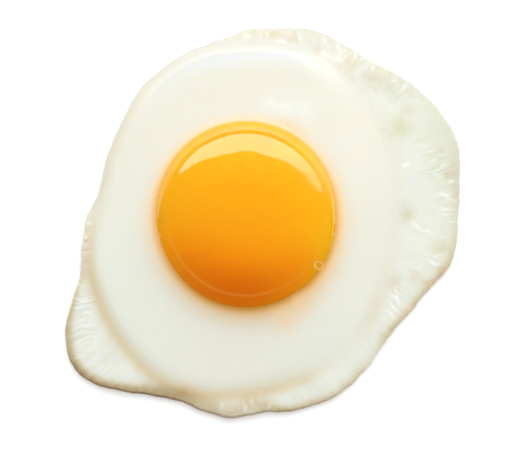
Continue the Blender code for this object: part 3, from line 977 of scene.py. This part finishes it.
def egg_white_finish():
    finish = Finish("egg_white")
    cloud = finish.mottle(9.0)
    fine = finish.mottle(0.9)
    edge = (finish.mark("edge") * (0.8 + 0.5 * fine)).clamped()
    colour = browning_and_painted_light(finish, yolk_colour_and_painted_light(finish, set_colour_and_painted_light(finish, cloud)), edge)
    wet = finish.mark("wet")
    roughness = 0.30 - 0.14 * wet + 0.05 * cloud + 0.2 * edge
    relief = finish.node("ShaderNodeBump", sockets={"Strength": 0.15, "Distance": 0.1 * MM, "Height": fine})
    wetness = {"IOR": 1.38, "Coat Weight": wet, "Coat Roughness": 0.1}
    depth = {"Subsurface Weight": 1.0, "Subsurface Radius": (1.0, 0.9, 0.7), "Subsurface Scale": SCATTER * MM}
    deep = finish.skin(colour, roughness, relief, **wetness, **depth)
    bound = finish.skin(colour, roughness, relief, **wetness)
    mixed = finish.node("ShaderNodeMixShader", sockets={0: finish.mark("bound"), 1: deep, 2: bound})
    return finish.done(mixed)


set_white = egg_white_finish()
white.data.materials.append(set_white)
bubble.data.materials.append(set_white)

# %% [markdown]
# ## Finish of the yolk
# Yolk is a strong pigment in fat. Light that goes in comes out orange, and red travels furthest. Shade is
# painted on as a ramp along Y, from deep orange on the near side, away from the light, to golden on the far
# side, with the marks laid over it. The coat is the wet skin, and it is taken away where the film makes it
# dull.

# %% The yolk's material
YOLK_SCATTER = 1.0


def egg_yolk_finish():
    finish = Finish("egg_yolk")
    cloud = finish.mottle(12.0)
    place = finish.node("ShaderNodeSeparateXYZ", sockets={"Vector": finish.place}, output="Y")
    # The ramp along Y is painted shade: the near side, away from the light, is a deeper orange.
    lean = (place * (1 / (yolk_long * MM)) + 0.5).clamped()
    stops = (
        (0.0, rgb(0.93, 0.33, 0.003)), (0.33, rgb(0.98, 0.38, 0.005)), (0.6, rgb(0.99, 0.43, 0.008)),
        (0.82, rgb(0.99, 0.505, 0.015)), (0.9, rgb(0.99, 0.45, 0.012)), (1.0, rgb(0.99, 0.50, 0.015)),
    )
    colour = finish.node("ShaderNodeValToRGB", {"stops": stops}, {"Fac": lean})
    # Painted light on the lit +X border.
    colour = finish.tint(finish.mark("gold") * 0.8, colour, rgb(0.98, 0.52, 0.006))
    # Painted shade on the near side.
    colour = finish.tint(finish.mark("deep") * 0.75, colour, rgb(0.70, 0.125, 0.0005))
    colour = finish.tint(finish.mark("film") * 0.4, colour, rgb(0.98, 0.54, 0.12))
    colour = finish.tint(finish.mark("thread") * 0.5, colour, rgb(0.99, 0.52, 0.10))
    fine = finish.mottle(0.5)
    relief = finish.node("ShaderNodeBump", sockets={"Strength": 0.05, "Distance": 0.05 * MM, "Height": fine})
    dull = finish.mark("dull")
    roughness = 0.05 + 0.02 * cloud + 0.6 * dull
    wetness = {"IOR": 1.45, "Coat Weight": 1 - dull, "Coat Roughness": 0.03}
    depth = {
        "Subsurface Weight": 1.0, "Subsurface Radius": (1.0, 0.5, 0.2), "Subsurface Scale": YOLK_SCATTER * MM,
    }
    return finish.done(finish.skin(colour, roughness, relief, **wetness, **depth))


yolk.data.materials.append(egg_yolk_finish())

# %% [markdown]
# ## Join the pieces to the frame
# The egg is one rigid body. Each skin rides on it and stands in for the solid that it covers. The bubble's
# ring rides on it too, and shares the finish of the white.

# %% Join the pieces to the frame
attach(white, "root")
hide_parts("white")
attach(yolk, "root")
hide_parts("yolk")
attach(bubble, "root")
print("joined:", white.name, yolk.name, bubble.name)

# %% [markdown]
# ## Studio
# A pale floor, one long softbox standing behind the egg, and a soft fill from above. The softbox draws the
# bright crescent on the yolk, and the thin line on the far shoulder of the white together with a painted
# highlight band there. The fill is left out of reflections, and the sky is dark in them, so that the yolk
# keeps its deep colour.

# %% Floor
FLOOR_SIDE = 6.0
FLOOR_DROP = 0.02
half = FLOOR_SIDE / 2
corners = [(-half, -half, 0), (half, -half, 0), (half, half, 0), (-half, half, 0)]
floor_mesh = bpy.data.meshes.new("floor")
floor_mesh.from_pydata(corners, [], [(0, 1, 2, 3)])
floor = bpy.data.objects.new("floor", floor_mesh)
bpy.context.scene.collection.objects.link(floor)
floor.location.z = -FLOOR_DROP * MM
paper = Finish("paper")
grain = paper.mottle(0.4)
tooth = paper.node("ShaderNodeBump", sockets={"Strength": 0.02, "Height": grain})
glow = {"Emission Color": rgb(1, 1, 1), "Emission Strength": 0.25}
floor_mesh.materials.append(paper.done(paper.skin(rgb(0.79, 0.815, 0.825), 0.7 + 0.1 * grain, tooth, **glow)))

# %% Softboxes
def softbox(name, size, place, aim, power, glossy=True, diffuse=True, shape="RECTANGLE"):
    lamp = bpy.data.lights.new(name, "AREA")
    lamp.shape = shape
    lamp.size, lamp.size_y = size
    lamp.energy = power
    holder = bpy.data.objects.new(name, lamp)
    holder.location = place
    holder.rotation_euler = (Vector(aim) - Vector(place)).to_track_quat("-Z", "Y").to_euler()
    holder.visible_glossy = glossy
    holder.visible_diffuse = diffuse
    bpy.context.scene.collection.objects.link(holder)
    print(f"{name}: {power} W")


softbox("back_strip", (1.53, 0.26), (0.055, 0.5, 0.218), (0, 0, 0.01), 2.55, diffuse=False, shape="ELLIPSE")
softbox("top_fill", (2.0, 2.0), (0.2, 0.7, 1.3), (0, 0, 0), 23.5, glossy=False)

# %% Sky
SKY = 0.6
SKY_IN_REFLECTIONS = 0.04
world = bpy.data.worlds.new("studio")
world.use_nodes = True
sky = world.node_tree
ray = sky.nodes.new("ShaderNodeLightPath")
level = sky.nodes.new("ShaderNodeMapRange")
level.inputs["To Min"].default_value = SKY
level.inputs["To Max"].default_value = SKY_IN_REFLECTIONS
sky.links.new(ray.outputs["Is Glossy Ray"], level.inputs["Value"])
sky.links.new(level.outputs["Result"], sky.nodes["Background"].inputs["Strength"])
sky.nodes["Background"].inputs["Color"].default_value = rgb(1, 1, 1)
bpy.context.scene.world = world
bpy.context.scene.view_settings.view_transform = "Standard"
print(f"sky {SKY}, and {SKY_IN_REFLECTIONS} in reflections")

# %% [markdown]
# ### Camera
# The camera looks almost straight down, as a cook does, from a third of a metre away. Its long lens keeps the
# egg's outline true.

# %% Camera
ELEVATION = math.radians(78)
DISTANCE = 0.334
AIM = Vector((2.8, -2.75, 5.0)) * MM
lens = bpy.data.cameras.new("camera")
lens.lens = 100
lens.sensor_width = 36
camera = bpy.data.objects.new("camera", lens)
camera.location = AIM + DISTANCE * Vector((0, -math.cos(ELEVATION), math.sin(ELEVATION)))
camera.rotation_euler = (math.pi / 2 - ELEVATION, 0, 0)
bpy.context.scene.collection.objects.link(camera)
bpy.context.scene.camera = camera
print(f"camera {DISTANCE} m away, {math.degrees(ELEVATION):.0f} degrees up")
